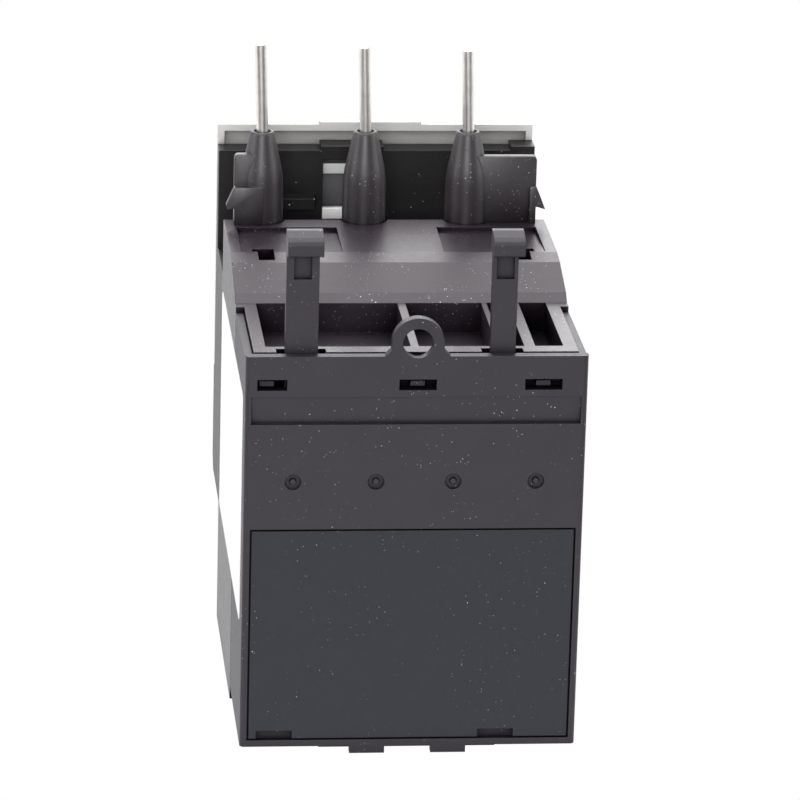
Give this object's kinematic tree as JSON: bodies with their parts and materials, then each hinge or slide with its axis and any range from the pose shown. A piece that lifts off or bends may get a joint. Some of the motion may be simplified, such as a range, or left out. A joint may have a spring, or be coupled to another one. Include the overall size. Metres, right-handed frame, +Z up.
{
  "type": "thermal overload relay",
  "caption": "Plug-in motor overload relay with round plug pins, hook arms, setting dial under a flap, stop and reset buttons and screw terminals.",
  "frame": {"origin": "middle of the whole part's outline, in plan, on the flat base it stands on", "axes": "+Z up towards the plug pins, +Y out of the rear cover, -Y out of the front with the dial and buttons, +X to the right as seen from the front"},
  "size_m": [0.0451, 0.0728, 0.0854],
  "materials": {
    "cover_plastic": "satin",
    "plate_plastic": "fine matte",
    "housing_plastic": "satin",
    "block_plastic": "satin",
    "sleeve_plastic": "semi-gloss",
    "fascia_plastic": "satin",
    "clear_plastic": "clear",
    "dial_plastic": "satin",
    "red_plastic": "gloss",
    "blue_plastic": "gloss",
    "flag_plastic": "satin",
    "works_plastic": "satin",
    "pin_metal": "tinned, drawn",
    "screw_steel": "zinc plated",
    "conductor_metal": "tinned copper",
    "bimetal": "rolled",
    "heater_ribbon": "oxidised",
    "glass_sleeving": "woven",
    "contact_metal": "silvered",
    "spring_steel": "bright"
  },
  "bodies": {
    "casing": {"bimetal_strip_1": "bimetal", "bimetal_strip_2": "bimetal", "bimetal_strip_3": "bimetal", "connector_pin_1": "pin_metal", "connector_pin_2": "pin_metal", "connector_pin_3": "pin_metal", "control_bar_1": "conductor_metal", "control_bar_2": "conductor_metal", "control_bar_3": "conductor_metal", "control_bar_4": "conductor_metal", "control_clamp_washers": "screw_steel", "control_terminal_screws": "screw_steel", "front_fascia": "fascia_plastic", "front_housing": "block_plastic", "heater_lug_1": "conductor_metal", "heater_lug_2": "conductor_metal", "heater_lug_3": "conductor_metal", "heater_sleeve_1": "glass_sleeving", "heater_sleeve_2": "glass_sleeving", "heater_sleeve_3": "glass_sleeving", "heater_winding_1": "heater_ribbon", "heater_winding_2": "heater_ribbon", "heater_winding_3": "heater_ribbon", "hook_arm_1": "cover_plastic", "hook_arm_2": "cover_plastic", "lever_pin": "spring_steel", "load_bar_1": "conductor_metal", "load_bar_2": "conductor_metal", "load_bar_3": "conductor_metal", "main_housing": "housing_plastic", "pin_sleeve_1": "sleeve_plastic", "pin_sleeve_2": "sleeve_plastic", "pin_sleeve_3": "sleeve_plastic", "power_clamp_washers": "screw_steel", "power_terminal_screws": "screw_steel", "rear_cover": "cover_plastic", "rear_plate": "plate_plastic", "reset_spring": "spring_steel", "stop_spring": "spring_steel", "test_spring": "spring_steel"},
    "stop_button": {"stop_button": "red_plastic"},
    "reset_button": {"reset_button": "blue_plastic"},
    "test_button": {"test_button": "red_plastic"},
    "mode_selector": {"mode_selector": "block_plastic"},
    "window_flap": {"window_flap": "clear_plastic"},
    "setting_dial": {"setting_dial": "dial_plastic", "dial_cam": "works_plastic"},
    "trip_slide": {"trip_slider": "works_plastic", "differential_lever": "works_plastic"},
    "differential_slide": {"differential_slider": "works_plastic"},
    "trip_lever": {"trip_lever": "works_plastic"},
    "contact_carrier": {"contact_carrier": "works_plastic", "nc_bridge": "contact_metal", "no_bridge": "contact_metal"},
    "trip_flag": {"trip_flag": "flag_plastic"}
  },
  "joints": [
    {"name": "stop_press", "type": "slide", "parent": "casing", "child": "stop_button", "axis": [0, 1, 0], "range_m": [0, 0.002], "stiffness_N_per_m": 150, "springref_m": -0.003, "deforming": ["stop_spring"]},
    {"name": "reset_press", "type": "slide", "parent": "casing", "child": "reset_button", "axis": [0, 1, 0], "range_m": [0, 0.0025], "stiffness_N_per_m": 150, "springref_m": -0.003, "deforming": ["reset_spring"]},
    {"name": "test_press", "type": "slide", "parent": "casing", "child": "test_button", "axis": [0, 1, 0], "range_m": [0, 0.0012], "stiffness_N_per_m": 120, "springref_m": -0.003, "deforming": ["test_spring"]},
    {"name": "mode_turn", "type": "hinge", "parent": "casing", "child": "mode_selector", "pos_m": [0.0164, -0.03265, 0.0448], "axis": [0, -1, 0], "range_deg": [0, 90]},
    {"name": "dial_turn", "type": "hinge", "parent": "casing", "child": "setting_dial", "pos_m": [-0.0124, -0.03265, 0.0448], "axis": [0, -1, 0], "range_deg": [-130, 130]},
    {"name": "flap_open", "type": "hinge", "parent": "casing", "child": "window_flap", "pos_m": [-0.0125, -0.03355, 0.03705], "axis": [1, 0, 0], "range_deg": [0, 100]},
    {"name": "trip_slide", "type": "slide", "parent": "casing", "child": "trip_slide", "axis": [1, 0, 0], "range_m": [0, 0.0015], "stiffness_N_per_m": 200, "springref_m": -0.001},
    {"name": "differential_slide", "type": "slide", "parent": "casing", "child": "differential_slide", "axis": [1, 0, 0], "range_m": [0, 0.0015]},
    {"name": "lever_turn", "type": "hinge", "parent": "casing", "child": "trip_lever", "pos_m": [0.0106, -0.02265, 0.0411], "axis": [0, 0, -1], "range_deg": [0, 10.79]},
    {"name": "carrier_slide", "type": "slide", "parent": "casing", "child": "contact_carrier", "axis": [0, 1, 0], "range_m": [0, 0.002]},
    {"name": "flag_slide", "type": "slide", "parent": "casing", "child": "trip_flag", "axis": [0, 0, 1], "range_m": [0, 0.0022]}
  ],
  "couplings": [
    {"joint": "differential_slide", "follows": "trip_slide", "ratio": 1},
    {"joint": "lever_turn", "follows": "trip_slide", "rad_per_m": 125},
    {"joint": "carrier_slide", "follows": "trip_slide", "ratio": 1.325},
    {"joint": "flag_slide", "follows": "trip_slide", "ratio": 1.4666}
  ]
}
